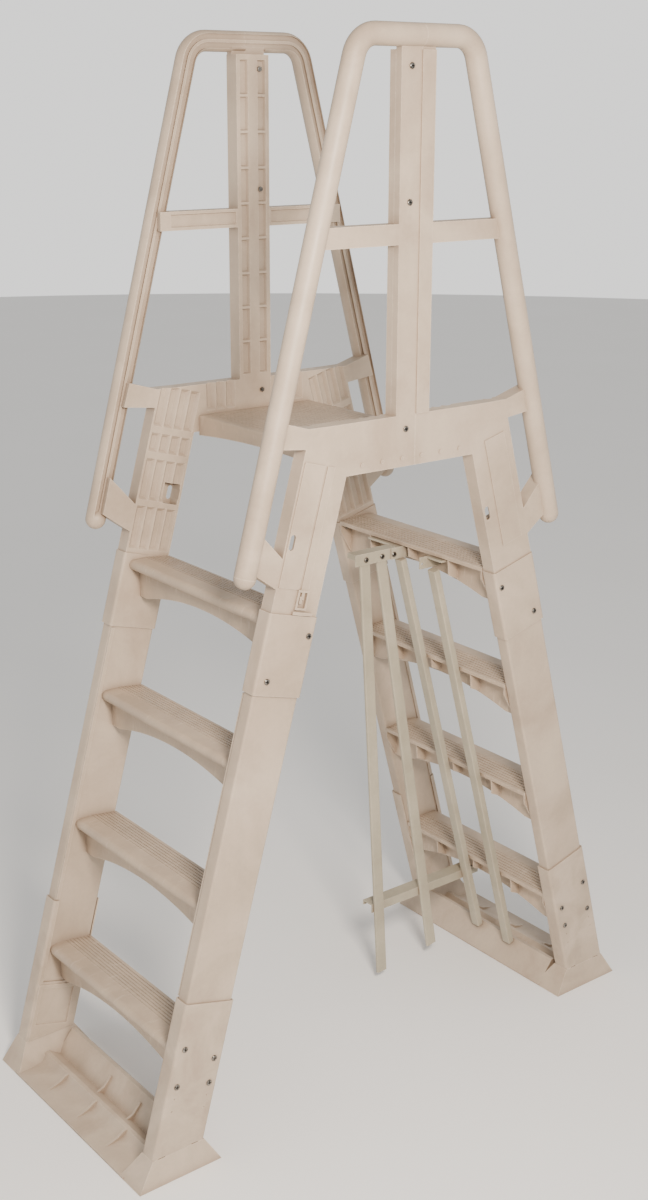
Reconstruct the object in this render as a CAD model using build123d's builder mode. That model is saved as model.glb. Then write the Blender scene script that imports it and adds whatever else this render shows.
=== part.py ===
from build123d import *
import os
from math import cos, radians, sin, tan

# Shared frame: X runs from the outside ladder (-X) to the pool ladder (+X), Y across the steps,
# Z up from the floor. Corner pieces are drawn once, for the right pool side, and mirrored.

# Stiles: the inclined side rails of both ladders
SLANT = radians(15.4)
FOOT_X = 642.0          # outer edge of a stile, carried down to the floor
STILE_DEPTH = 108.0
STILE_THICK = 32.0
STILE_IN = 241.0        # half the clear width between the stiles
STILE_WALL = 3.2
STILE_BOTTOM = 96.0     # lengths along the stile are measured from the floor
COLLAR_BOTTOM = 990.0
COLLAR_TOP = 1148.0
SOCKET_LIP = 3.5        # how far collars and sleeves stand proud of the stile
SOCKET_GAP = 0.3

STRIP = (8.0, 2.5)      # lip along the front edge of the inner face

# Steps
STEP_RISE = 276.0
FIRST_STEP = 254.4
STEPS = 4
TREADS = [FIRST_STEP + step * STEP_RISE for step in range(STEPS)]
NOSE_SETBACK = 12.0
NOSE_THICK = 22.0
REAR_LIP = 8.0
CROWN = 7.0
TREAD_THICK = 6.0
APRON_BACK = 13.0       # apron behind the centre of the nose
APRON_END = 76.0
APRON_MID = 46.0
APRON_FLAT = 28.0       # level stretch at each end of the arch
REAR_WEB = 31.0         # second web, from the rear edge
STEP_RIB_Y = (-130.0, 0.0, 130.0)
WEB = 3.5
CREST = 0.62            # where the crowned tread is highest, as a share of its depth
GROOVES = 7
GROOVE = (3.0, 3.2)     # width, and twice the depth
GROOVE_PITCH = 8.5
GROOVE_START = 9.0

# Side frames: leg, beam, post, handrail and arms of one half
FRAME_OUT = STILE_IN + STILE_THICK
LAP = STILE_IN + STILE_THICK / 2
LEG_BOTTOM = 1004.0
LEG_SLOT = (30.0, 12.0)     # padlock slot: length and width
LEG_SLOT_S = 1283.0
LEG_SLOT_P = {True: -13.0, False: -97.0}
SLOT_POCKET = (36.0, 44.0)
POCKET_SHIFT = {True: -11.0, False: 13.0}
SLOT_WALL = 3.0
CATCH_P = -64.0
CATCH_S = 1178.0
CATCH_OUTER = (26.0, 38.0)
CATCH_INNER = (18.0, 30.0)
CATCH_PROUD = 4.0
CATCH_DEEP = 10.0
CATCH_HOOKS = [(CATCH_P, CATCH_S + 8), (CATCH_P + 3, CATCH_S)]
LEDGE = (46.0, 6.0)
LEDGE_P = -70.0
BAND_PROUD = 2.0
BAND_LONG = 236.0
BAND_S = 1315.0
BANDS = {True: [(-28.0, 48.0), (-67.0, 18.0)], False: [(-45.0, 54.0)]}  # middle and width
PIP_R = 4.0
PIP_PROUD = 2.0
PIP_PITCH = 49.5
POST_RAISED = 2.5
POST_CELLS = 9
CELL_WIDE = 20.0
CELL_SPACING = 44.0
CELL_DEEP = 6.0
CELL_DRAFT = 30.0       # degrees
RAIL_DISH = 4.0         # depth of the channel in the mid rail
BEAM_BOTTOM = 1340.0
BEAM_TOP = 1440.0
POST_HALF = 40.5
FLUTE_PITCH = 25.2
FLUTE_WIDE = 23.0
FLUTE_DEEP = 7.0
FLUTE_DRAFT = 44.0      # degrees
FLUTE_BANDS = [(1158.0, 1250.0), (1263.0, 1351.0), (1365.0, 1405.0), (1419.0, 1505.0)]
BEAM_FLUTES = 3
FLUTED_WALL = 11.0
LEG_HOLLOW = (96.0, 16.0)
LEG_HOLLOW_TOP = 1334.0
SEAM = 8.0
RAIL_R = 21.0
DOME_R = 20.95          # just inside the tube, so that the two surfaces cross cleanly
RAIL_Y = 267.0
RAIL_CHANNEL = 12.0     # depth of the channel on the side towards the steps
RAIL_TOP = 2127.0       # centre height of the handrail's top bar
RAIL_CORNER = 136.0     # where the straight stretches of handrail would meet
RAIL_SLANT = radians(15.1)
RAIL_END = 1182.0
RAIL_BEND = 50.0
RAIL_OPENING = 28.0
RAIL_RIB = (8.0, 6.0)
MID_RAIL = 1778.0
MID_RAIL_HIGH = 38.0

# Platform
DECK_TOP = 1375.0
DECK_HALF_X = 148.0
DECK_SKIRT = 43.0
DECK_SCREW = (136.0, 1356.0)

# Bases: two leg sleeves on one floor tray
SLEEVE_TOP = 378.0
SLEEVE_WINDOW = 192.0
PANEL = (76.0, 82.0)    # sunk panel on the sleeve's inner face
PANEL_FRAME = 2.5
PANEL_DRAFT = 20.0      # degrees
NOTCH = (15.0, 3.0, 2.2)
NOTCH_X = (534.0, 571.0, 610.0)
TRAY_TOP = 55.0
TRAY_OUT = 666.0
TRAY_IN = 477.0
TRAY_END = 285.0
TRAY_WALL = 4.0
TRAY_HALF_Y = 222.0     # the long section runs between the end blocks
BLOCK_Y = 208.0         # where an end block starts
FIN_Y = (-119.0, 0.0, 119.0)
GUSSET_Y = (-32.0, 85.0)
STIFFENER_Y = (-60.0, 60.0)
FIN_THICK = 5.0
STIFFENER_THICK = 3.0
TRAVEL = 50.8           # two adjustment holes, one inch apart
HOLE_PITCH = 25.4

# Barrier behind the pool steps
BARRIER_Y = 29.0
BAR_THICK = 8.0
FIT = 0.2               # gap between neighbours of one body

# Fasteners
SHANK_R = 2.5
HOLE_R = 2.8
HEAD_R = 6.0
HEAD_H = 2.6

# Where screws sit: along the stile as (inward, up), on the post by height
COLLAR_SCREWS = [(-98.0, 1111.0), (-22.0, 1018.0)]
SLEEVE_SCREWS = [(-16.0, 286.0), (-16.0, 209.0), (-92.0, 260.0), (-92.0, 209.0)]
POST_BOLTS = [2074.0, 1835.0, 1413.0]
POST_BOLT_X = 16.0

UP = (-sin(SLANT), 0, cos(SLANT))
OUT = (cos(SLANT), 0, sin(SLANT))


def front_x(z):
    """Outer edge of the pool stile at height z."""
    return FOOT_X - z * tan(SLANT)


def rear_x(z):
    """Inner edge of the pool stile at height z."""
    return front_x(z) - STILE_DEPTH / cos(SLANT)


def rail_x(z):
    """Centre of the inclined handrail at height z."""
    return RAIL_CORNER + (RAIL_TOP - z) * tan(RAIL_SLANT)


def step_screw(z):
    """Screw that ties a step's end plate to the stile, for a tread at height z."""
    return rear_x(z) + 18, z - 13


def across(s):
    """Plane across the right pool stile, s along it: local X outward, local Y along +Y."""
    return Plane(origin=(FOOT_X + s * UP[0], 0, s * UP[2]), x_dir=OUT, z_dir=UP)


def along(y):
    """Plane of the right pool stile's side: local X outward, local Y up the stile."""
    return Plane(origin=(FOOT_X, -y, 0), x_dir=OUT, z_dir=(0, -1, 0))


def corner(piece, outside, left):
    """Mirror the right pool-side piece to its own corner of the ladder."""
    if outside:
        piece = mirror(piece, about=Plane.YZ)
    if left:
        piece = mirror(piece, about=Plane.XZ)
    return piece


def save(piece, label):
    piece.label = label
    export_step(piece, f"parts/{label}.step")


# ---------------------------------------------------------------- stile with collar
def build_stile():
    mid = (-STILE_DEPTH / 2, -(STILE_IN + STILE_THICK / 2))
    with BuildPart() as stile:
        with BuildSketch(across(STILE_BOTTOM)):
            with Locations(mid):
                RectangleRounded(STILE_DEPTH, STILE_THICK, 5)
        extrude(amount=LEG_BOTTOM - 4 - STILE_BOTTOM)
        with BuildSketch(across(COLLAR_BOTTOM)):
            with Locations(mid):
                RectangleRounded(STILE_DEPTH + 2 * SOCKET_LIP, STILE_THICK + 2 * SOCKET_LIP, 6)
        extrude(amount=COLLAR_TOP - COLLAR_BOTTOM)
        # hollow of the box section, and the wider socket that takes the leg
        with BuildSketch(across(STILE_BOTTOM - 1)):
            with Locations(mid):
                RectangleRounded(STILE_DEPTH - 2 * STILE_WALL, STILE_THICK - 2 * STILE_WALL, 2)
        extrude(amount=LEG_BOTTOM - STILE_BOTTOM, mode=Mode.SUBTRACT)
        with BuildSketch(across(LEG_BOTTOM - 4)):
            with Locations(mid):
                Rectangle(STILE_DEPTH + 2 * SOCKET_GAP, STILE_THICK + 2 * SOCKET_GAP)
        extrude(amount=COLLAR_TOP, mode=Mode.SUBTRACT)
        # lip along the front edge of the inner face
        with BuildSketch(along(STILE_IN - STRIP[1])):
            with Locations((-1 - STRIP[0] / 2, (SLEEVE_TOP + COLLAR_BOTTOM) / 2)):
                Rectangle(STRIP[0], COLLAR_BOTTOM - SLEEVE_TOP - 8)
        extrude(amount=STRIP[1] + 1)
        # holes for the collar screws, and slots where the sleeve screws are moved along
        with BuildSketch(along(STILE_IN + STILE_THICK - 8)):
            with Locations(*COLLAR_SCREWS):
                Circle(HOLE_R)
        extrude(amount=20, mode=Mode.SUBTRACT)
        with Locations(*[(step_screw(z)[0], -STILE_IN, step_screw(z)[1]) for z in TREADS]):
            Cylinder(HOLE_R, 20, rotation=(90, 0, 0), mode=Mode.SUBTRACT)
        for column in (-16.0, -92.0):
            tops = [s for p, s in SLEEVE_SCREWS if p == column]
            top = max(tops) + HOLE_R
            bottom = min(tops) - TRAVEL - HOLE_R
            with BuildSketch(along(STILE_IN + STILE_THICK - 8)):
                with Locations((column, (top + bottom) / 2)):
                    SlotOverall(top - bottom, 2 * HOLE_R, rotation=90)
            extrude(amount=20, mode=Mode.SUBTRACT)
    return stile.part


# ---------------------------------------------------------------- side frame half
def frame_outline(x_min, z_max):
    """Flat outline of one half frame, from x_min outward and no higher than z_max."""
    leg_low = across(LEG_BOTTOM)
    low_out = leg_low.origin
    low_in = leg_low.from_local_coords((-STILE_DEPTH, 0, 0))
    arm = RAIL_TOP - 30
    Polygon(
        (low_out.X, low_out.Z), (front_x(BEAM_TOP), BEAM_TOP), (rear_x(BEAM_TOP), BEAM_TOP),
        (low_in.X, low_in.Z), align=None,
    )
    with Locations((0, (BEAM_TOP + BEAM_BOTTOM) / 2)):
        Rectangle(2 * rear_x(BEAM_TOP) + 60, BEAM_TOP - BEAM_BOTTOM)
    with Locations((0, (BEAM_TOP + arm) / 2)):
        Rectangle(2 * POST_HALF, arm - BEAM_TOP + 40)
    with Locations((rail_x(MID_RAIL) / 2, MID_RAIL)):
        Rectangle(rail_x(MID_RAIL), MID_RAIL_HIGH)
    Polygon(
        (front_x(BEAM_TOP) - 45, BEAM_TOP), (front_x(BEAM_TOP) + 4, BEAM_TOP + 1),
        (rail_x(1460) - 2, 1460), (rail_x(1412), 1412), (front_x(1402) - 10, 1402), align=None,
    )
    Polygon(
        (front_x(1202) - 8, 1198), (rail_x(1270), 1270), (rail_x(1196), 1196),
        (front_x(1150), 1150), (front_x(1150) - 8, 1150), align=None,
    )
    with Locations((x_min + 500, z_max - 1000)):
        Rectangle(1000, 2000, mode=Mode.INTERSECT)


def rail_path(seam):
    with BuildLine(Plane.XZ.offset(RAIL_Y)) as path:
        FilletPolyline(
            (rail_x(RAIL_END), RAIL_END), (RAIL_CORNER, RAIL_TOP), (seam, RAIL_TOP),
            radius=RAIL_BEND,
        )
    return path.wire()


def build_frame(outside):
    outer_seam = -SEAM if outside else SEAM
    inner_seam = POST_HALF + FIT if outside else -POST_HALF
    lap_top = RAIL_TOP - RAIL_R - 4
    path = rail_path(outer_seam)
    start = Plane(origin=path @ 0, x_dir=(0, 1, 0), z_dir=path % 0)
    with BuildPart() as frame:
        with BuildSketch(Plane.XZ.offset(LAP)):
            frame_outline(outer_seam, RAIL_TOP)
        extrude(amount=STILE_THICK / 2)
        with BuildSketch(Plane.XZ.offset(STILE_IN)):
            frame_outline(inner_seam, lap_top)
        extrude(amount=STILE_THICK / 2)
        # handrail: round outside, open towards the steps with one rib along it
        with BuildSketch(start):
            Circle(RAIL_R)
            with Locations((RAIL_R - RAIL_CHANNEL / 2 + 1, 0)):
                Rectangle(RAIL_CHANNEL + 2, RAIL_OPENING, mode=Mode.SUBTRACT)
            with Locations((RAIL_R - RAIL_CHANNEL, 0)):
                Rectangle(*RAIL_RIB)
        sweep(path=path)
        with Locations(start):
            Sphere(DOME_R)
        # hollow of the leg, open at its foot inside the collar
        with BuildSketch(across(LEG_BOTTOM - 1)):
            with Locations((-STILE_DEPTH / 2, -(STILE_IN + FLUTED_WALL + LEG_HOLLOW[1] / 2))):
                Rectangle(*LEG_HOLLOW)
        extrude(amount=LEG_HOLLOW_TOP - LEG_BOTTOM, mode=Mode.SUBTRACT)
        # inner side of the leg: four upright flutes between cross ribs
        for low, high in FLUTE_BANDS:
            with BuildSketch(along(STILE_IN)):
                with Locations((-STILE_DEPTH / 2, (low + high) / 2)):
                    with GridLocations(FLUTE_PITCH, 0, 4, 1):
                        Rectangle(FLUTE_WIDE, high - low)
            extrude(amount=FLUTE_DEEP, taper=FLUTE_DRAFT, mode=Mode.SUBTRACT)
        # the flutes carry on along the beam, from the platform to its top edge
        with BuildSketch(Plane.XZ.offset(STILE_IN)):
            with Locations((POST_HALF + 2 * FLUTE_PITCH, (BEAM_TOP + DECK_TOP) / 2 + FLUTE_DEEP)):
                with GridLocations(FLUTE_PITCH, 0, BEAM_FLUTES, 1):
                    Rectangle(FLUTE_WIDE, BEAM_TOP - DECK_TOP)
        extrude(amount=FLUTE_DEEP, taper=FLUTE_DRAFT, mode=Mode.SUBTRACT)
        # shallow channel in the mid rail
        with BuildSketch(Plane.XZ.offset(STILE_IN)):
            with Locations(((POST_HALF + rail_x(MID_RAIL) - RAIL_R) / 2, MID_RAIL)):
                Rectangle(rail_x(MID_RAIL) - RAIL_R - POST_HALF - 8, MID_RAIL_HIGH - 12)
        extrude(amount=RAIL_DISH, taper=CELL_DRAFT, mode=Mode.SUBTRACT)
        if outside:
            # the other half's flange slides in behind this one
            with BuildSketch(Plane.XZ.offset(STILE_IN)):
                with Locations((POST_HALF / 2 - SEAM / 2, 1720)):
                    Rectangle(POST_HALF + SEAM, 800)
            extrude(amount=STILE_THICK / 2 + FIT, mode=Mode.SUBTRACT)
        else:
            # two columns of cells in the post, either side of the plain screw strip
            pitch = (lap_top - BEAM_TOP - 16) / POST_CELLS
            with BuildSketch(Plane.XZ.offset(STILE_IN)):
                with Locations((0, (lap_top + BEAM_TOP) / 2)):
                    with GridLocations(CELL_SPACING, pitch, 2, POST_CELLS):
                        Rectangle(CELL_WIDE, pitch - 4)
            extrude(amount=CELL_DEEP, taper=CELL_DRAFT, mode=Mode.SUBTRACT)
            # raised half of the post's outer face
            with BuildSketch(Plane.XZ.offset(FRAME_OUT)):
                with Locations(((SEAM + POST_HALF) / 2, (BEAM_TOP + lap_top) / 2)):
                    Rectangle(POST_HALF - SEAM, lap_top - BEAM_TOP)
            extrude(amount=POST_RAISED)
        # raised bands on the leg's outer face, above the collar
        for band, width in BANDS[outside]:
            with BuildSketch(along(FRAME_OUT)):
                with Locations((band, BAND_S)):
                    Rectangle(width, BAND_LONG)
            extrude(amount=BAND_PROUD)
        # small raised pips along the lower edge of the beam
        with Locations(Plane.XZ.offset(FRAME_OUT)):
            with Locations(*[((pip + 0.5) * PIP_PITCH, BEAM_BOTTOM + 17) for pip in range(3)]):
                Cylinder(PIP_R, 2 * PIP_PROUD)
        # padlock slot through the leg, in a thin wall at the bottom of a pocket
        slot_p = LEG_SLOT_P[outside]
        with BuildSketch(along(STILE_IN - 5)):
            with Locations((slot_p, LEG_SLOT_S)):
                SlotOverall(*LEG_SLOT, rotation=90)
        extrude(amount=60, mode=Mode.SUBTRACT)
        with BuildSketch(along(STILE_IN)):
            with Locations((slot_p + POCKET_SHIFT[outside], LEG_SLOT_S)):
                Rectangle(*SLOT_POCKET)
        extrude(amount=STILE_THICK - SLOT_WALL, mode=Mode.SUBTRACT)
        if outside:
            # catch above the collar: a framed pocket with a hook in it, and a ledge under it
            with BuildSketch(along(FRAME_OUT)):
                with Locations((CATCH_P, CATCH_S)):
                    Rectangle(*CATCH_OUTER)
            extrude(amount=CATCH_PROUD)
            with BuildSketch(along(FRAME_OUT - 2)):
                with Locations((CATCH_P, CATCH_S)):
                    Rectangle(*CATCH_INNER)
            extrude(amount=CATCH_DEEP, mode=Mode.SUBTRACT)
            with BuildSketch(along(FRAME_OUT - 2)):
                with Locations(*CATCH_HOOKS):
                    Rectangle(6, 14)
            extrude(amount=CATCH_PROUD + 1)
            with BuildSketch(along(FRAME_OUT)):
                with Locations((LEDGE_P, COLLAR_TOP + 4.5)):
                    Rectangle(*LEDGE)
            extrude(amount=LEDGE[1])
        # holes for the collar screws and the post bolts
        with BuildSketch(along(STILE_IN - 5)):
            with Locations(*COLLAR_SCREWS):
                Circle(HOLE_R)
        extrude(amount=60, mode=Mode.SUBTRACT)
        with Locations((step_screw(TREADS[-1])[0], -STILE_IN, step_screw(TREADS[-1])[1]),
                       (DECK_SCREW[0], -STILE_IN, DECK_SCREW[1])):
            Cylinder(HOLE_R, 24, rotation=(90, 0, 0), mode=Mode.SUBTRACT)
        with BuildSketch(Plane.XZ.offset(STILE_IN - 5)):
            with Locations(*[(POST_BOLT_X if outside else -POST_BOLT_X, z) for z in POST_BOLTS]):
                Circle(HOLE_R)
        extrude(amount=60, mode=Mode.SUBTRACT)
    return frame.part


# ---------------------------------------------------------------- step
def build_step(z, end_y, clip_sites=()):
    rear = rear_x(z)
    nose = front_x(z) - NOSE_SETBACK - NOSE_THICK / 2
    crest = rear + CREST * (nose - rear)
    top = z + CROWN
    apron_x = nose - APRON_BACK
    with BuildPart() as step:
        # tread with its rounded nose
        with BuildSketch(Plane.XZ.offset(-end_y)):
            with BuildLine():
                Polyline((nose, top - NOSE_THICK), (apron_x, top - NOSE_THICK),
                         (apron_x, z - TREAD_THICK), (rear + WEB, z - TREAD_THICK),
                         (rear + WEB, z - REAR_LIP), (rear, z - REAR_LIP), (rear, z), (crest, top),
                         (nose, top))
                ThreePointArc((nose, top), (nose + NOSE_THICK / 2, top - NOSE_THICK / 2),
                              (nose, top - NOSE_THICK))
            make_face()
        extrude(amount=2 * end_y)
        # apron under the nose and a second web behind it, with the same arched lower edge
        for web_x in (apron_x - WEB, rear + REAR_WEB):
            with BuildSketch(Plane.YZ.offset(web_x)):
                with BuildLine():
                    Polyline((APRON_FLAT - end_y, z - APRON_END), (-end_y, z - APRON_END),
                             (-end_y, z - 2), (end_y, z - 2), (end_y, z - APRON_END),
                             (end_y - APRON_FLAT, z - APRON_END))
                    ThreePointArc((end_y - APRON_FLAT, z - APRON_END), (0, z - APRON_MID),
                                  (APRON_FLAT - end_y, z - APRON_END))
                make_face()
            extrude(amount=WEB)
        # end plates, and ribs that reach down to the arch
        for side in (-1, 1):
            with BuildSketch(Plane.XZ.offset(side * (end_y - 2))):
                Polygon((apron_x, z - 3), (apron_x, z - APRON_END), (rear + REAR_WEB, z - APRON_END),
                        (rear, z - 24), (rear, z - 3), align=None)
            extrude(amount=2, both=True)
        for rib_y in STEP_RIB_Y:
            low = z - APRON_MID - (APRON_END - APRON_MID) * (rib_y / (end_y - APRON_FLAT)) ** 2 + 3
            with BuildSketch(Plane.XZ.offset(rib_y)):
                Polygon((apron_x, z - 3), (apron_x, low), (rear + REAR_WEB, low), (rear + 5, low + 12),
                        (rear + 2, z - REAR_LIP), (rear + 2, z - 3), align=None)
            extrude(amount=1.5, both=True)
        # grip grooves along the rear of the tread
        for groove in range(GROOVES):
            dx = GROOVE_START + groove * GROOVE_PITCH
            height = z + CROWN * dx / (crest - rear)
            with Locations((rear + dx, 0, height)):
                Box(GROOVE[0], 2 * end_y + 2, GROOVE[1], mode=Mode.SUBTRACT)
        hole_x, hole_z = step_screw(z)
        with Locations((hole_x, -end_y, hole_z), (hole_x, end_y, hole_z)):
            Cylinder(HOLE_R, 12, rotation=(90, 0, 0), mode=Mode.SUBTRACT)
        drill(clip_sites, 11)
    return step.part


# ---------------------------------------------------------------- leg sleeve
def build_sleeve():
    mid = (-STILE_DEPTH / 2, -(STILE_IN + STILE_THICK / 2))
    with BuildPart() as sleeve:
        with BuildSketch(across(0)):
            with Locations(mid):
                RectangleRounded(STILE_DEPTH + 2 * SOCKET_LIP, STILE_THICK + 2 * SOCKET_LIP, 6)
        extrude(amount=SLEEVE_TOP)
        with BuildSketch(across(50)):
            with Locations(mid):
                Rectangle(STILE_DEPTH + 2 * SOCKET_GAP, STILE_THICK + 2 * SOCKET_GAP)
        extrude(amount=SLEEVE_TOP, mode=Mode.SUBTRACT)
        # inner side is open above the window edge, apart from a lip at the front
        with BuildSketch(along(STILE_IN - 10)):
            with Locations((-STILE_DEPTH / 2 - 10, SLEEVE_WINDOW + 200)):
                Rectangle(STILE_DEPTH + 2, 400)
        extrude(amount=10 + SOCKET_GAP, mode=Mode.SUBTRACT)
        # raised frame round the panel on the inner face
        with BuildSketch(along(STILE_IN - SOCKET_LIP)):
            with Locations((-STILE_DEPTH / 2, 122)):
                Rectangle(STILE_DEPTH, 130)
            with Locations((-STILE_DEPTH / 2 + 5, 136)):
                Rectangle(*PANEL, mode=Mode.SUBTRACT)
        extrude(amount=-PANEL_FRAME, taper=PANEL_DRAFT)
        # cut level where it stands on the tray
        with Locations((FOOT_X, -STILE_IN, TRAY_TOP - 200 + FIT)):
            Box(600, 200, 400, mode=Mode.SUBTRACT)
        # three notches in the foot of the inner face, two in the outer one
        notch_z = TRAY_TOP + FIT + NOTCH[2] / 2
        notches = [(x, -(STILE_IN - SOCKET_LIP), notch_z) for x in NOTCH_X]
        notches += [(x, -(FRAME_OUT + SOCKET_LIP), notch_z) for x in (NOTCH_X[0], NOTCH_X[-1])]
        with Locations(*notches):
            Box(*NOTCH, mode=Mode.SUBTRACT)
        # screw holes and the row of marks for the other settings
        with BuildSketch(along(FRAME_OUT - 8)):
            with Locations(*SLEEVE_SCREWS):
                Circle(HOLE_R)
        extrude(amount=20, mode=Mode.SUBTRACT)
        with BuildSketch(along(FRAME_OUT + SOCKET_LIP - 1)):
            for column in (-16.0, -92.0):
                with Locations(*[(column, 209 - HOLE_PITCH * (mark + 1)) for mark in range(2)]):
                    Circle(2)
        extrude(amount=5, mode=Mode.SUBTRACT)
    return sleeve.part


# ---------------------------------------------------------------- base tray
def tray_section(inset, base):
    """Profile of the tray between its end blocks; inset gives the hollow underneath."""
    drop = TRAY_WALL if inset else 0
    Polygon(
        (TRAY_OUT - drop, base), (TRAY_OUT - drop, 5 - drop), (628, 6.5 - drop),
        (610 - drop / 2, 9 - drop), (601 - drop, 14 - drop), (594 - drop, 24 - drop),
        (586 - drop, 25 - drop), (562 - drop, 12 - drop), (526 - drop / 2, TRAY_TOP - 2 * drop),
        (517 + drop / 2, TRAY_TOP - 2 * drop), (TRAY_IN + drop, 3), (TRAY_IN + drop, base),
        align=None,
    )


def end_block(inset):
    """Flared block under each leg, up to the sleeve; inset gives its hollow, open upward."""
    foot_w = TRAY_OUT - TRAY_IN - 2 * inset
    top_out = front_x(TRAY_TOP) + 3.6 - inset
    top_in = rear_x(TRAY_TOP) - 3.6 + inset
    top_y = (STILE_IN + FRAME_OUT) / 2
    top_w = STILE_THICK + 2 * SOCKET_LIP - 2 * inset
    foot_y = (BLOCK_Y + TRAY_END) / 2
    for side in (-1, 1):
        with BuildSketch(Plane.XY.offset(inset)) as foot:
            with Locations(((TRAY_OUT + TRAY_IN) / 2, side * foot_y)):
                Rectangle(foot_w, TRAY_END - BLOCK_Y - 2 * inset)
        with BuildSketch(Plane.XY.offset(TRAY_TOP)) as head:
            with Locations(((top_out + top_in) / 2, side * top_y)):
                Rectangle(top_out - top_in, top_w)
        loft([foot.sketch, head.sketch], mode=Mode.SUBTRACT if inset else Mode.ADD)


def build_tray():
    with BuildPart() as tray:
        with BuildSketch(Plane.XZ.offset(-TRAY_HALF_Y)):
            tray_section(False, 0)
        extrude(amount=2 * TRAY_HALF_Y)
        end_block(0)
        end_block(TRAY_WALL)
        with BuildSketch(Plane.XZ.offset(2 - BLOCK_Y)):
            tray_section(True, -1)
        extrude(amount=2 * (BLOCK_Y - 2), mode=Mode.SUBTRACT)
        # fins across the cove, gussets behind the ridge, and stiffeners under the tray
        for y in FIN_Y:
            with BuildSketch(Plane.XZ.offset(y)):
                Polygon((650, 5), (632, 9), (616, 14.5), (603, 23), (594, 25), (590, 10), (620, 4),
                        align=None)
            extrude(amount=FIN_THICK / 2, both=True)
        for y in GUSSET_Y:
            with BuildSketch(Plane.XZ.offset(y)):
                Polygon((577, 18), (560, 24), (542, 44), (536, 38), (560, 8), (572, 12), align=None)
            extrude(amount=FIN_THICK / 2, both=True)
        for y in STIFFENER_Y:
            with BuildSketch(Plane.XZ.offset(y)):
                Polygon((TRAY_OUT - 2, 0), (628, 4.5), (608, 6), (592, 20), (584, 20), (562, 10),
                        (520, 48), (514, 48), (TRAY_IN + 2, 0), align=None)
            extrude(amount=STIFFENER_THICK / 2, both=True)
    return tray.part


# ---------------------------------------------------------------- platform
def build_platform():
    end_y = STILE_IN - FIT
    with BuildPart() as platform:
        with Locations((0, 0, DECK_TOP - 3)):
            Box(2 * DECK_HALF_X, 2 * end_y, 6)
        fillet(platform.edges().filter_by(Axis.Y).group_by(Axis.Z)[-1], 4)
        # skirts with an arched lower edge on both long sides
        for side in (-1, 1):
            with BuildSketch(Plane.YZ.offset(side * (DECK_HALF_X - 2))):
                with BuildLine():
                    low = DECK_TOP - DECK_SKIRT
                    Polyline((-end_y, low), (-end_y, DECK_TOP - 4), (end_y, DECK_TOP - 4), (end_y, low))
                    ThreePointArc((end_y, low), (0, low + 12), (-end_y, low))
                make_face()
            extrude(amount=2, both=True)
        # end flanges that screw to the beams
        for side in (-1, 1):
            with Locations((0, side * (end_y - 2), DECK_TOP - 16)):
                Box(2 * DECK_HALF_X, 4, 26)
        # ribs underneath
        for y in range(-180, 181, 60):
            with Locations((0, y, DECK_TOP - 15)):
                Box(2 * DECK_HALF_X - 2, 3, 22)
        for x in (-74, 0, 74):
            with Locations((x, 0, DECK_TOP - 15)):
                Box(3, 2 * end_y - 2, 22)
        # rounded hand lug in the middle of the pool-side skirt
        with BuildSketch(Plane.YZ.offset(DECK_HALF_X - 4)):
            with Locations((0, DECK_TOP - 36)):
                RectangleRounded(60, 30, 10)
        extrude(amount=4)
        # grip grooves along the top
        with GridLocations(12, 0, 22, 1):
            with Locations((0, 0, DECK_TOP)):
                Box(2, 2 * end_y - 30, 2, mode=Mode.SUBTRACT)
        corners = [(x, y) for x in (-DECK_SCREW[0], DECK_SCREW[0]) for y in (-end_y, end_y)]
        with Locations(*[(x, y, DECK_SCREW[1]) for x, y in corners]):
            Cylinder(HOLE_R, 12, rotation=(90, 0, 0), mode=Mode.SUBTRACT)
    return platform.part


# ---------------------------------------------------------------- barrier
BAR_WIDE = 28.0
LONG_BAR = (16.0, 24.0)  # thickness and width
LONG_BAR_TOP = 1115.0
LONG_BAR_FOOT = 84.0
BAR_BEHIND = 11.0       # how far the long bars stand behind the steps
LONG_BAR_Y = {
    "barrier_bar_3": BARRIER_Y + BAR_THICK / 2 - LONG_BAR[1] / 2,
    "barrier_bar_4": -88.0,
}
HANGING_BARS = {
    # foot and head of each bar in the side view
    "barrier_bar_1": ((200.0, 24.0), (133.0, 1068.0)),
    "barrier_bar_2": ((357.0, 41.0), (177.0, 1068.0)),
}
TOP_RAIL = (104.0, 219.0, 1046.0, 1072.0)       # x from, to, z from, to
LOW_RAIL = (172.0, 512.0, 184.0, 205.0)
RAIL_WALL = 3.0
BAR_FRONT = BARRIER_Y - BAR_THICK / 2
BAR_BACK = BARRIER_Y + BAR_THICK / 2
CLIP_X = (222.0, 262.0)
CLIP_TONGUE_X = 203.0
LEFT_CLIP_BACK = 122.0
RIGHT_CLIP = (-122.0, -72.8)
LIP_BACK = 18.0         # how far the top rail's flange reaches behind the bars
FLANGE = 34.0           # reach of the bottom rail's flange
LIP_DROP = 12.0
TOP_SCREW_Z = 1057.0
JOIN_SCREW_X = 210.0
CLIP_Z = (1068.0, 1072.0)
TAB_SCREW_Y = (105.0, -113.0)


def bar_at(line, z):
    """X of a hanging bar's centre line at height z."""
    (low_x, low_z), (high_x, high_z) = line
    return low_x + (high_x - low_x) * (z - low_z) / (high_z - low_z)


def block(x0, x1, y0, y1, z0, z1):
    """Box between two corners, joined to the part being built."""
    with Locations(((x0 + x1) / 2, (y0 + y1) / 2, (z0 + z1) / 2)):
        Box(x1 - x0, y1 - y0, z1 - z0)


def drill(sites, depth):
    """Clearance holes from each (point, direction) into the part being built."""
    for point, direction in sites:
        with Locations(Plane(origin=point, z_dir=direction)):
            Cylinder(HOLE_R, 2 * depth, mode=Mode.SUBTRACT)


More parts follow.
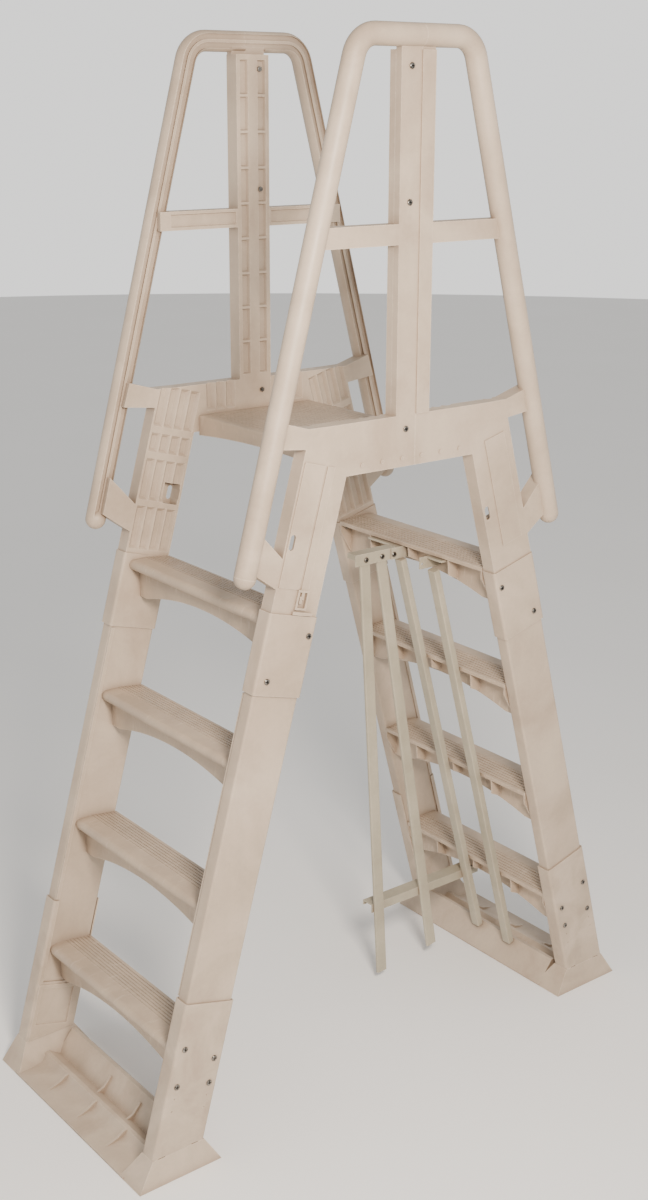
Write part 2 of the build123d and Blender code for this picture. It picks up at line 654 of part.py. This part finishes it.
def rail_screws():
    """Screws through the top rail's face into the hanging bars."""
    return [((bar_at(line, TOP_SCREW_Z), BAR_FRONT - RAIL_WALL - FIT, TOP_SCREW_Z), (0, -1, 0))
            for line in HANGING_BARS.values()]


def low_rail_screws():
    """Screws from inside the bottom rail into the bars that cross it."""
    z = (LOW_RAIL[2] + LOW_RAIL[3]) / 2
    bars = [bar_at(line, z) for line in HANGING_BARS.values()]
    bars.append(rear_x(z) - BAR_BEHIND / cos(SLANT))
    return [((x, BAR_BACK + RAIL_WALL + FIT, z), (0, 1, 0)) for x in bars]


def tab_screws():
    """Screws up through the clips into the top step's ribs."""
    return [((248.0, y, CLIP_Z[0]), (0, 0, -1)) for y in TAB_SCREW_Y]


def build_hanging_bar(line):
    """Flat bar that hangs from the top rail to near the floor."""
    (low_x, low_z), (high_x, high_z) = line
    run = Vector(high_x - low_x, 0, high_z - low_z)
    plane = Plane(origin=(low_x, BARRIER_Y, low_z), x_dir=(0, 1, 0), z_dir=run)
    with BuildPart() as bar:
        with BuildSketch(plane):
            RectangleRounded(BAR_THICK, BAR_WIDE, 3)
        extrude(amount=run.length - 4)
        drill(rail_screws(), 12)
        drill(low_rail_screws(), 10)
    return bar.part


def build_long_bar(y):
    """Bar that runs down the back of the pool steps."""
    with BuildPart() as bar:
        with BuildSketch(across(LONG_BAR_FOOT)):
            with Locations((-STILE_DEPTH - BAR_BEHIND, y)):
                RectangleRounded(*LONG_BAR, 2.5)
        extrude(amount=LONG_BAR_TOP - LONG_BAR_FOOT)
        drill(low_rail_screws(), 10)
    return bar.part


def build_top_rail():
    x0, x1, z0, z1 = TOP_RAIL
    with BuildPart() as rail:
        block(x0, x1, BAR_FRONT - FIT - RAIL_WALL, BAR_FRONT - FIT, z0, z1)
        block(x0, x1, BAR_FRONT - FIT - RAIL_WALL, BAR_BACK + LIP_BACK, z1 - RAIL_WALL, z1)
        block(x0, x0 + RAIL_WALL, BAR_FRONT - FIT - RAIL_WALL, BAR_BACK + LIP_BACK,
              z1 - LIP_DROP, z1)
        drill(rail_screws(), 8)
        drill([((JOIN_SCREW_X, BAR_FRONT - FIT, TOP_SCREW_Z), (0, -1, 0))], 8)
    return rail.part


def build_low_rail():
    x0, x1, z0, z1 = LOW_RAIL
    front = BAR_BACK + FIT
    with BuildPart() as rail:
        block(x0, x1, front, front + RAIL_WALL, z0, z1)
        block(x0, x1, front, front + FLANGE, z1 - RAIL_WALL, z1)
        block(x0, x1, front + FLANGE - RAIL_WALL, front + FLANGE, z1 - LIP_DROP, z1)
        drill(low_rail_screws(), 5)
    return rail.part


def build_clip(y_from, y_to, tongue_y):
    """Angled plate under the top step that carries one long bar."""
    with BuildPart() as clip:
        block(CLIP_X[0], CLIP_X[1], y_from, y_to, CLIP_Z[0], CLIP_Z[1])
        block(CLIP_TONGUE_X, CLIP_X[1], tongue_y, tongue_y + RAIL_WALL, TOP_RAIL[2], CLIP_Z[1])
        drill(tab_screws(), 8)
        drill([((JOIN_SCREW_X, tongue_y, TOP_SCREW_Z), (0, -1, 0))], 8)
    return clip.part


# ---------------------------------------------------------------- fasteners
def build_screws(sites, shank):
    """Pan-head screws: each site is the point under the head and the way the head faces."""
    with BuildPart() as screws:
        for point, direction in sites:
            with Locations(Plane(origin=point, z_dir=direction)):
                Cylinder(HEAD_R, HEAD_H, align=(Align.CENTER, Align.CENTER, Align.MIN))
                Cylinder(SHANK_R, shank, align=(Align.CENTER, Align.CENTER, Align.MAX))
    return screws.part


def stile_sites(spots, level, outside):
    """Screws on the outer faces of both stiles of one ladder."""
    sites = []
    for p, s in spots:
        spot = along(level).from_local_coords((p, s, 0))
        x = -spot.X if outside else spot.X
        sites += [((x, side * level, spot.Z), (0, side, 0)) for side in (-1, 1)]
    return sites


def step_sites(outside):
    sites = []
    for z in TREADS:
        hole_x, hole_z = step_screw(z)
        x = -hole_x if outside else hole_x
        sites += [((x, side * (step_end(z) - 4), hole_z), (0, -side, 0)) for side in (-1, 1)]
    return sites


def build_nuts(sites):
    with BuildPart() as nuts:
        for point, direction in sites:
            with BuildSketch(Plane(origin=point, z_dir=direction)):
                RegularPolygon(5.5, 6)
                Circle(HOLE_R, mode=Mode.SUBTRACT)
            extrude(amount=4)
    return nuts.part


def step_end(z):
    """Half length of a step: the top one is shorter, between the collars."""
    return STILE_IN - FIT - (SOCKET_LIP if z == TREADS[-1] else 0)


# ---------------------------------------------------------------- whole ladder
os.makedirs("parts", exist_ok=True)
stile = build_stile()
sleeve = build_sleeve()
frames = {outside: build_frame(outside) for outside in (True, False)}
tray = build_tray()

for outside, ladder in ((True, "outside"), (False, "pool")):
    for left, side in ((True, "left"), (False, "right")):
        save(corner(stile, outside, left), f"{side}_{ladder}_stile")
        save(corner(sleeve, outside, left), f"{side}_{ladder}_leg_sleeve")
        # the left side frame is the right one turned half round, so its halves change places
        save(corner(frames[outside != left], outside, left), f"{side}_{ladder}_frame")
    save(corner(tray, outside, False), f"{ladder}_base_tray")
    for number, z in enumerate(TREADS, 1):
        clip_sites = [] if outside or number < STEPS else tab_screws()
        save(corner(build_step(z, step_end(z), clip_sites), outside, False), f"{ladder}_step_{number}")
    proud = FRAME_OUT + SOCKET_LIP
    save(build_screws(stile_sites(COLLAR_SCREWS, proud, outside), 12), f"{ladder}_collar_screws")
    save(build_screws(stile_sites(SLEEVE_SCREWS, proud, outside), 10), f"{ladder}_sleeve_screws")
    save(build_screws(step_sites(outside), 9), f"{ladder}_step_screws")

save(build_platform(), "platform")
deck_inner = STILE_IN - FIT - 4
deck_sites = [((x, side * deck_inner, DECK_SCREW[1]), (0, -side, 0))
              for x in (-DECK_SCREW[0], DECK_SCREW[0]) for side in (-1, 1)]
save(build_screws(deck_sites, 13), "platform_screws")
bolt_sites = [((side * POST_BOLT_X, side * FRAME_OUT, z), (0, side, 0))
              for z in POST_BOLTS for side in (-1, 1)]
save(build_screws(bolt_sites, STILE_THICK + 4), "post_bolts")
nut_sites = [((side * POST_BOLT_X, side * STILE_IN, z), (0, -side, 0))
             for z in POST_BOLTS for side in (-1, 1)]
save(build_nuts(nut_sites), "post_nuts")

for label, line in HANGING_BARS.items():
    save(build_hanging_bar(line), label)
for label, y in LONG_BAR_Y.items():
    save(build_long_bar(y), label)
save(build_top_rail(), "barrier_top_rail")
save(build_low_rail(), "barrier_bottom_rail")
clip_front = BAR_FRONT - FIT - RAIL_WALL - FIT - RAIL_WALL
save(build_clip(clip_front, LEFT_CLIP_BACK, clip_front), "left_barrier_clip")
save(build_clip(*RIGHT_CLIP, RIGHT_CLIP[1] - RAIL_WALL), "right_barrier_clip")
barrier_sites = rail_screws() + low_rail_screws() + tab_screws()
barrier_sites.append(((JOIN_SCREW_X, clip_front, TOP_SCREW_Z), (0, -1, 0)))
save(build_screws(barrier_sites, 10), "barrier_screws")
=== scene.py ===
from math import cos, pi, radians, sin

import bmesh
import bpy
from mathutils import Matrix, Vector


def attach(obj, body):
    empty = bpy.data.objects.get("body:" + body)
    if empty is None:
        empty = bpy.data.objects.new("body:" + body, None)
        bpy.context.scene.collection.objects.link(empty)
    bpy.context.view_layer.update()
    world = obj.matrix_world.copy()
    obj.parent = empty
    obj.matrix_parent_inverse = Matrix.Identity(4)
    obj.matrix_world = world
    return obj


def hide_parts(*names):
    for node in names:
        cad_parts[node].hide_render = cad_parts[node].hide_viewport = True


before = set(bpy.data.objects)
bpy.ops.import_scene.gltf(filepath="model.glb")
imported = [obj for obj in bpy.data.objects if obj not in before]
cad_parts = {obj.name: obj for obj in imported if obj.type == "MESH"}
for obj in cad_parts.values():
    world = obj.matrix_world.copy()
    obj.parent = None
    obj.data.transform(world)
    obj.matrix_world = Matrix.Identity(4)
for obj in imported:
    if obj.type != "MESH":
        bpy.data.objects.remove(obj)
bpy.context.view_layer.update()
MM = 0.001


# Base trays. Each is one long shallow moulding that rests on the floor and joins the two legs of
# a ladder. It is high-density polyethylene, injection moulded, with a flared block at each end.
def linear(hex_colour):
    """sRGB hex to the linear colour that a shader takes."""
    parts = [int(hex_colour[i:i + 2], 16) / 255 for i in (1, 3, 5)]
    return [c / 12.92 if c <= 0.04045 else ((c + 0.055) / 1.055) ** 2.4 for c in parts] + [1.0]


def add(tree, kind, settings=None, links=None):
    """One shader node: settings name its properties or sockets, links name its input sockets."""
    made = tree.nodes.new(kind)
    for key, value in (settings or {}).items():
        if isinstance(key, int) or key in made.inputs:
            made.inputs[key].default_value = value
        else:
            setattr(made, key, value)
    for key, socket in (links or {}).items():
        tree.links.new(socket, made.inputs[key])
    return made


# painted shade: the brown that flutes, grooves and corners are darkened towards
HOLLOW_SHADE = "#8A7563"
GRAIN_MM = 1.6          # the real mould grain is about 0.4 mm, drawn coarser so that it shows
MOTTLE_MM = 9
# width of the paler edges: rubbed wear and a painted highlight
RUBBED_AND_HIGHLIT_MM = 2.5
# how far the painted shade in the hollows reaches
HOLLOW_SHADE_REACH_MM = 22
SATIN = (0.40, 0.58)    # roughness of the skin, from its glossiest streaks to its dullest


def polyethylene(name, body, shade, worn_and_highlight, cloud_mm=140, scuff=0.0):
    """Injection-moulded polyethylene: a satin skin with a slow cloudy drift of colour where the
    melt flowed, a fine spark-eroded grain from the mould, paler edges (rubbed wear with a painted
    highlight) and painted shade darkening the hollows."""
    material = bpy.data.materials.new(name)
    material.use_nodes = True
    tree = material.node_tree
    tree.nodes.clear()
    place = add(tree, "ShaderNodeTexCoord").outputs["Object"]
    cloud = add(tree, "ShaderNodeTexNoise",
                {"Scale": 1000 / cloud_mm, "Detail": 4.0, "Roughness": 0.55, "Distortion": 0.6},
                {"Vector": place})
    mottle = add(tree, "ShaderNodeTexNoise",
                 {"Scale": 1000 / MOTTLE_MM, "Detail": 6.0, "Roughness": 0.7}, {"Vector": place})
    flow_place = add(tree, "ShaderNodeMapping", {"Scale": (38, 38, 3.2)}, {"Vector": place})
    flow = add(tree, "ShaderNodeTexNoise", {"Scale": 1.0, "Detail": 5.0, "Roughness": 0.6},
               {"Vector": flow_place.outputs[0]})
    drift = add(tree, "ShaderNodeValToRGB", None, {"Fac": cloud.outputs["Fac"]})
    drift.color_ramp.elements[0].position = 0.34
    drift.color_ramp.elements[0].color = linear(shade)
    drift.color_ramp.elements[1].position = 0.62
    drift.color_ramp.elements[1].color = linear(body)
    speckle = add(tree, "ShaderNodeMapRange",
                  {"From Min": 0.3, "From Max": 0.7, "To Min": 0.96, "To Max": 1.03},
                  {"Value": mottle.outputs["Fac"]})
    streak = add(tree, "ShaderNodeMapRange",
                 {"From Min": 0.3, "From Max": 0.7, "To Min": 0.965, "To Max": 1.03},
                 {"Value": flow.outputs["Fac"]})
    tone = add(tree, "ShaderNodeMath", {"operation": "MULTIPLY"},
               {0: speckle.outputs[0], 1: streak.outputs[0]})
    toned = add(tree, "ShaderNodeVectorMath", {"operation": "SCALE"},
                {0: drift.outputs["Color"], "Scale": tone.outputs[0]})
    # paler edges, partly rubbed wear and partly a painted highlight: where the surface turns within the
    # rubbed width
    turned = add(tree, "ShaderNodeBevel", {"samples": 4, "Radius": RUBBED_AND_HIGHLIT_MM * MM})
    facing = add(tree, "ShaderNodeNewGeometry")
    bend = add(tree, "ShaderNodeVectorMath", {"operation": "DOT_PRODUCT"},
               {0: turned.outputs[0], 1: facing.outputs["Normal"]})
    edge = add(tree, "ShaderNodeMapRange",
               {"From Min": 0.995, "From Max": 0.86, "To Min": 0.0, "To Max": 0.85},
               {"Value": bend.outputs["Value"]})
    patchy = add(tree, "ShaderNodeMapRange",
                 {"From Min": 0.35, "From Max": 0.62, "To Min": 0.25, "To Max": 1.0},
                 {"Value": mottle.outputs["Fac"]})
    rub_and_highlight = add(tree, "ShaderNodeMath", {"operation": "MULTIPLY"},
              {0: edge.outputs[0], 1: patchy.outputs[0]})
    rubbed_and_highlit = add(tree, "ShaderNodeMix", {"data_type": "RGBA"}, {"Factor": rub_and_highlight.outputs[0]})
    tree.links.new(toned.outputs[0], rubbed_and_highlit.inputs[6])
    rubbed_and_highlit.inputs[7].default_value = linear(worn_and_highlight)
    # painted shade: flutes, grooves and corners are darkened towards a brown by ambient occlusion
    hollow = add(tree, "ShaderNodeAmbientOcclusion", {"samples": 6, "Distance": HOLLOW_SHADE_REACH_MM * MM})
    hollow_shade = add(tree, "ShaderNodeMapRange",
                {"From Min": 0.30, "From Max": 0.92, "To Min": 0.85, "To Max": 0.0},
                {"Value": hollow.outputs["AO"]})
    colour = add(tree, "ShaderNodeMix", {"data_type": "RGBA"}, {"Factor": hollow_shade.outputs[0]})
    tree.links.new(rubbed_and_highlit.outputs[2], colour.inputs[6])
    colour.inputs[7].default_value = linear(HOLLOW_SHADE)
    last_colour = colour.outputs[2]
    # shoe scuffs: short pale marks across the walking surface
    if scuff:
        across = add(tree, "ShaderNodeMapping", {"Scale": (26, 150, 26), "Rotation": (0, 0, 0.5)},
                     {"Vector": place})
        marks = add(tree, "ShaderNodeTexNoise", {"Scale": 1.0, "Detail": 3.0, "Roughness": 0.5},
                    {"Vector": across.outputs[0]})
        scuffed = add(tree, "ShaderNodeMapRange",
                      {"From Min": 0.60, "From Max": 0.74, "To Min": 0.0, "To Max": scuff},
                      {"Value": marks.outputs["Fac"]})
        mix = add(tree, "ShaderNodeMix", {"data_type": "RGBA"}, {"Factor": scuffed.outputs[0]})
        tree.links.new(last_colour, mix.inputs[6])
        mix.inputs[7].default_value = linear(worn_and_highlight)
        last_colour = mix.outputs[2]
    gloss = add(tree, "ShaderNodeMapRange",
                {"From Min": 0.3, "From Max": 0.7, "To Min": SATIN[0], "To Max": SATIN[1]},
                {"Value": flow.outputs["Fac"]})
    grain = add(tree, "ShaderNodeTexNoise",
                {"Scale": 1000 / GRAIN_MM, "Detail": 2.0, "Roughness": 0.6}, {"Vector": place})
    # the walls sink slowly with the cooling melt, under the fine grain of the skin
    sink = add(tree, "ShaderNodeBump", {"Strength": 0.35, "Distance": 1.2 * MM},
               {"Height": cloud.outputs["Fac"]})
    skin = add(tree, "ShaderNodeBump", {"Strength": 0.16, "Distance": 0.25 * MM},
               {"Height": grain.outputs["Fac"], "Normal": sink.outputs[0]})
    shader = add(tree, "ShaderNodeBsdfPrincipled", {"IOR": 1.5},
                 {"Base Color": last_colour, "Roughness": gloss.outputs[0], "Normal": skin.outputs[0]})
    add(tree, "ShaderNodeOutputMaterial", None, {"Surface": shader.outputs[0]})
    return material


def moulded(node, material, body, edge_mm=1.3):
    """The CAD part as it leaves the mould: every sharp corner is rounded by edge_mm."""
    bm = bmesh.new()
    bm.from_mesh(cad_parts[node].data)
    bmesh.ops.remove_doubles(bm, verts=bm.verts, dist=0.02 * MM)
    bmesh.ops.dissolve_limit(bm, angle_limit=radians(0.6), verts=bm.verts, edges=bm.edges)
    mesh = bpy.data.meshes.new(node + "_moulded")
    bm.to_mesh(mesh)
    bm.free()
    for layer in ("custom_normal", "sharp_face", "sharp_edge"):
        if layer in mesh.attributes:
            mesh.attributes.remove(mesh.attributes[layer])
    mesh.materials.clear()
    mesh.materials.append(material)
    piece = bpy.data.objects.new(node + "_moulded", mesh)
    bpy.context.scene.collection.objects.link(piece)
    mesh.shade_smooth()
    mesh.set_sharp_from_angle(angle=radians(34))
    rounding = piece.modifiers.new("rounded_edges", "BEVEL")
    rounding.width = edge_mm * MM
    rounding.segments = 2
    rounding.limit_method = "ANGLE"
    rounding.angle_limit = radians(34)
    rounding.use_clamp_overlap = True
    rounding.harden_normals = True
    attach(piece, body)
    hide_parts(node)
    return piece


TAUPE = "#BEAC98"
TAUPE_SHADE = "#AB9884"
# pale colour for rubbed wear, scuffs and the painted edge highlight
TAUPE_WORN_AND_HIGHLIGHT = "#DACAB6"
tray_plastic = polyethylene("moulded_polyethylene_tray", TAUPE, TAUPE_SHADE, TAUPE_WORN_AND_HIGHLIGHT)
for ladder in ("outside", "pool"):
    moulded(ladder + "_base_tray", tray_plastic, ladder + "_base", edge_mm=1.6)


# Leg sleeves. Four open-backed polyethylene boxes stand on the tray ends and take the foot of each
# stile; the screws go through one row of marks or another to set the height.
sleeve_plastic = polyethylene("moulded_polyethylene_sleeve", TAUPE, TAUPE_SHADE, TAUPE_WORN_AND_HIGHLIGHT, cloud_mm=90)
for ladder in ("outside", "pool"):
    for side in ("left", "right"):
        moulded(f"{side}_{ladder}_leg_sleeve", sleeve_plastic, ladder + "_base")


# Stiles. The two inclined sides of each ladder, one hollow polyethylene moulding each, with a wider
# collar at the top that the leg of the side frame drops into.
stile_plastic = polyethylene("moulded_polyethylene_stile", TAUPE, TAUPE_SHADE, TAUPE_WORN_AND_HIGHLIGHT, cloud_mm=200)
for ladder in ("outside", "pool"):
    for side in ("left", "right"):
        moulded(f"{side}_{ladder}_stile", stile_plastic, "ladder", edge_mm=1.5)


# Steps. Eight polyethylene mouldings with a rounded nose, a grooved rear half and an arched apron,
# screwed between the stiles through their end plates.
step_plastic = polyethylene("moulded_polyethylene_step", "#B9A58F", TAUPE_SHADE, TAUPE_WORN_AND_HIGHLIGHT,
                            cloud_mm=110, scuff=0.35)
for ladder in ("outside", "pool"):
    for number in range(1, 5):
        moulded(f"{ladder}_step_{number}", step_plastic, "ladder", edge_mm=0.8)


# Side frames. On each side two mouldings lap on the centre post. Each carries a leg, half of the
# beam, of the post and of the handrail, in one piece of fluted polyethylene.
frame_plastic = polyethylene("moulded_polyethylene_frame", TAUPE, TAUPE_SHADE, TAUPE_WORN_AND_HIGHLIGHT,
                             cloud_mm=170)
for ladder in ("outside", "pool"):
    for side in ("left", "right"):
        moulded(f"{side}_{ladder}_frame", frame_plastic, "ladder", edge_mm=1.3)


# Platform. One polyethylene deck with fine grip grooves, a skirt on both long sides and ribs below,
# screwed to the beams at its four corners.
deck_plastic = polyethylene("moulded_polyethylene_deck", "#BCA791", TAUPE_SHADE, TAUPE_WORN_AND_HIGHLIGHT,
                            cloud_mm=130, scuff=0.3)
moulded("platform", deck_plastic, "ladder", edge_mm=0.7)


# Barrier. Flat extruded bars on two angle rails close the gap behind the pool steps. They are a
# slightly greyer grade of polyethylene, cut to length and screwed.
barrier_plastic = polyethylene("extruded_polyethylene_barrier", "#B0A793", "#A09783", "#CEC6B3",
                               cloud_mm=160)
BARRIER = ["barrier_bar_1", "barrier_bar_2", "barrier_bar_3", "barrier_bar_4", "barrier_top_rail",
           "barrier_bottom_rail", "left_barrier_clip", "right_barrier_clip"]
for node in BARRIER:
    moulded(node, barrier_plastic, "ladder", edge_mm=0.8)


# Screws, bolts and nuts. Stainless pan-head screws with a cross recess, cold formed and tumbled;
# they pull up against the plastic, and the heads are what shows.
def stainless(name, dark, light, rough):
    """Cold-formed stainless steel: dark grey with a bright glint at the rim of each head, and faint
    tumbling scratches."""
    material = bpy.data.materials.new(name)
    material.use_nodes = True
    tree = material.node_tree
    tree.nodes.clear()
    place = add(tree, "ShaderNodeTexCoord").outputs["Object"]
    cloud = add(tree, "ShaderNodeTexNoise", {"Scale": 1000 / 4, "Detail": 4.0}, {"Vector": place})
    scratch = add(tree, "ShaderNodeTexNoise", {"Scale": 1000 / 0.8, "Detail": 2.0, "Distortion": 1.5},
                  {"Vector": place})
    tint = add(tree, "ShaderNodeValToRGB", None, {"Fac": cloud.outputs["Fac"]})
    tint.color_ramp.elements[0].position = 0.35
    tint.color_ramp.elements[0].color = linear(dark)
    tint.color_ramp.elements[1].position = 0.65
    tint.color_ramp.elements[1].color = linear(light)
    gloss = add(tree, "ShaderNodeMapRange",
                {"From Min": 0.3, "From Max": 0.7, "To Min": rough[0], "To Max": rough[1]},
                {"Value": scratch.outputs["Fac"]})
    relief = add(tree, "ShaderNodeBump", {"Strength": 0.2, "Distance": 0.05 * MM},
                 {"Height": scratch.outputs["Fac"]})
    shader = add(tree, "ShaderNodeBsdfPrincipled", {"Metallic": 1.0},
                 {"Base Color": tint.outputs["Color"], "Roughness": gloss.outputs[0],
                  "Normal": relief.outputs[0]})
    add(tree, "ShaderNodeOutputMaterial", None, {"Surface": shader.outputs[0]})
    return material


steel = stainless("cold_formed_stainless_steel", "#55514C", "#9A958E", (0.20, 0.40))
# painted shade: the cross recess gets a near-black steel, dark partly for thread oil and dust
shaded_recess_steel = stainless("shaded_recess_of_stainless_steel", "#1E1B19", "#332F2B", (0.45, 0.70))


def solids(node):
    """The corner points of each separate solid in a CAD node."""
    bm = bmesh.new()
    bm.from_mesh(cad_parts[node].data)
    bmesh.ops.remove_doubles(bm, verts=bm.verts, dist=0.02 * MM)
    left = set(bm.verts)
    groups = []
    while left:
        front = [left.pop()]
        group = []
        while front:
            vert = front.pop()
            group.append(vert.co.copy())
            for e in vert.link_edges:
                other = e.other_vert(vert)
                if other in left:
                    left.remove(other)
                    front.append(other)
        groups.append(group)
    bm.free()
    return groups


HEAD_HEIGHT = 2.6 * MM
SHANK_RADIUS = 2.4 * MM
TURNS = 32              # facets round a head; a cross recess has four arms among them
ARM_PULL = 0.45         # how far the recess pulls in between its arms


def pan_screw(bm, points):
    """One pan-head screw with a cross recess, where the CAD screw is."""
    low = Vector([min(p[i] for p in points) for i in range(3)])
    high = Vector([max(p[i] for p in points) for i in range(3)])
    span = high - low
    axis = max(range(3), key=lambda i: span[i])
    middle = (low + high) / 2
    off_axis = lambda p: sum((p[i] - middle[i]) ** 2 for i in range(3) if i != axis)
    head_side = 1 if max(points, key=off_axis)[axis] > middle[axis] else -1
    outward = Vector([head_side if i == axis else 0 for i in range(3)])
    top = middle + outward * span[axis] / 2
    turn = outward.to_track_quat("Z", "Y").to_matrix()
    radius = span[(axis + 1) % 3] / 2
    # rings from the tip of the shank, over the crown and down into the recess: radius, height,
    # and how far the ring pulls in between the arms of the cross
    rings = [
        (0.0, -span[axis], 1), (SHANK_RADIUS, -span[axis], 1), (SHANK_RADIUS, -HEAD_HEIGHT, 1),
        (radius, -HEAD_HEIGHT, 1), (radius, -0.5 * HEAD_HEIGHT, 1),
        (0.9 * radius, -0.18 * HEAD_HEIGHT, 1), (0.7 * radius, 0.0, 1),
        (0.58 * radius, 0.0, ARM_PULL), (0.46 * radius, -0.6 * HEAD_HEIGHT, ARM_PULL),
        (0.0, -0.8 * HEAD_HEIGHT, 1),
    ]
    before = None
    for number, (reach, height, pull) in enumerate(rings):
        ring = []
        for i in range(TURNS if reach else 1):
            in_arm = abs((i + 2) % (TURNS // 4) - 2) <= 1
            r = reach if in_arm else reach * pull
            angle = 2 * pi * i / TURNS
            ring.append(bm.verts.new(top + turn @ Vector((r * cos(angle), r * sin(angle), height))))
        for i in range(TURNS if before else 0):
            corners = [before[i % len(before)], before[(i + 1) % len(before)],
                       ring[(i + 1) % len(ring)], ring[i % len(ring)]]
            face = bm.faces.new(list(dict.fromkeys(corners)))
            # the faces down in the recess take the near-black steel of painted shade
            face.material_index = 1 if number >= len(rings) - 2 else 0
        before = ring


def screws(node, body):
    """Every screw of one CAD node, as one piece with a bright steel and, in the recess, a near-black
    steel of painted shade.
    """
    bm = bmesh.new()
    for points in solids(node):
        pan_screw(bm, points)
    bmesh.ops.recalc_face_normals(bm, faces=bm.faces)
    mesh = bpy.data.meshes.new(node + "_formed")
    bm.to_mesh(mesh)
    bm.free()
    mesh.materials.append(steel)
    mesh.materials.append(shaded_recess_steel)
    mesh.shade_smooth()
    mesh.set_sharp_from_angle(angle=radians(40))
    piece = bpy.data.objects.new(node + "_formed", mesh)
    bpy.context.scene.collection.objects.link(piece)
    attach(piece, body)
    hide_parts(node)


for ladder in ("outside", "pool"):
    screws(ladder + "_collar_screws", "ladder")
    screws(ladder + "_step_screws", "ladder")
    screws(ladder + "_sleeve_screws", ladder + "_base")
for node in ("platform_screws", "post_bolts", "barrier_screws"):
    screws(node, "ladder")
moulded("post_nuts", steel, "ladder", edge_mm=0.4)


# Studio. A plain pale paper floor, a small soft key light just to the right of the camera, and a
# weak fill on its left. The air is palest near the horizon and dimmer overhead.
floor_bm = bmesh.new()
bmesh.ops.create_circle(floor_bm, cap_ends=True, segments=96, radius=14.0)
floor_mesh = bpy.data.meshes.new("studio_floor")
floor_bm.to_mesh(floor_mesh)
floor_bm.free()
floor = bpy.data.objects.new("studio_floor", floor_mesh)
bpy.context.scene.collection.objects.link(floor)
floor.location.z = -0.4 * MM
paper = bpy.data.materials.new("matt_studio_paper")
paper.use_nodes = True
paper_tree = paper.node_tree
paper_tree.nodes.clear()
paper_place = add(paper_tree, "ShaderNodeTexCoord").outputs["Object"]
paper_noise = add(paper_tree, "ShaderNodeTexNoise", {"Scale": 1.2, "Detail": 3.0},
                  {"Vector": paper_place})
paper_tone = add(paper_tree, "ShaderNodeValToRGB", None, {"Fac": paper_noise.outputs["Fac"]})
paper_tone.color_ramp.elements[0].color = linear("#F7F6F4")
paper_tone.color_ramp.elements[1].color = linear("#FCFBFA")
paper_shader = add(paper_tree, "ShaderNodeBsdfPrincipled", {"Roughness": 0.9},
                   {"Base Color": paper_tone.outputs["Color"]})
add(paper_tree, "ShaderNodeOutputMaterial", None, {"Surface": paper_shader.outputs[0]})
floor_mesh.materials.append(paper)

world = bpy.data.worlds.new("studio_air")
bpy.context.scene.world = world
world.use_nodes = True
sky = world.node_tree
sky_place = add(sky, "ShaderNodeTexCoord").outputs["Generated"]
sky_height = add(sky, "ShaderNodeSeparateXYZ", None, {0: sky_place})
sky_level = add(sky, "ShaderNodeMapRange",
                {"From Min": 0.10, "From Max": 0.40, "To Min": 1.4, "To Max": 0.68},
                {"Value": sky_height.outputs["Z"]})
sky.nodes["Background"].inputs["Color"].default_value = linear("#FAF9F7")
sky.links.new(sky_level.outputs[0], sky.nodes["Background"].inputs["Strength"])


def soft_light(name, place, aim, size, watts, colour):
    lamp = bpy.data.lights.new(name, "AREA")
    lamp.shape = "DISK"
    lamp.size = size
    lamp.energy = watts
    lamp.color = linear(colour)[:3]
    holder = bpy.data.objects.new(name, lamp)
    bpy.context.scene.collection.objects.link(holder)
    holder.location = place
    holder.rotation_euler = (Vector(aim) - Vector(place)).to_track_quat("-Z", "Y").to_euler()


soft_light("key_light", (-1.05, -2.1, 2.2), (-0.2, 0, 1.2), 0.6, 112, "#FFF3E6")
soft_light("fill_light", (-3.4, 0.6, 2.6), (0, 0, 1.1), 2.0, 6, "#FFF7EF")

camera_data = bpy.data.cameras.new("camera")
camera_data.sensor_fit = "VERTICAL"
camera_data.sensor_height = 36
camera_data.lens = 47.39
camera_data.shift_x = -0.0068
camera_data.shift_y = -0.0249
camera = bpy.data.objects.new("camera", camera_data)
bpy.context.scene.collection.objects.link(camera)
camera.matrix_world = (
    Matrix.Translation((-1.9661, -2.5143, 2.0175)) @ Matrix.Rotation(radians(-38.336), 4, "Z")
    @ Matrix.Rotation(radians(73.365), 4, "X") @ Matrix.Rotation(radians(0.243), 4, "Z")
)
bpy.context.scene.camera = camera
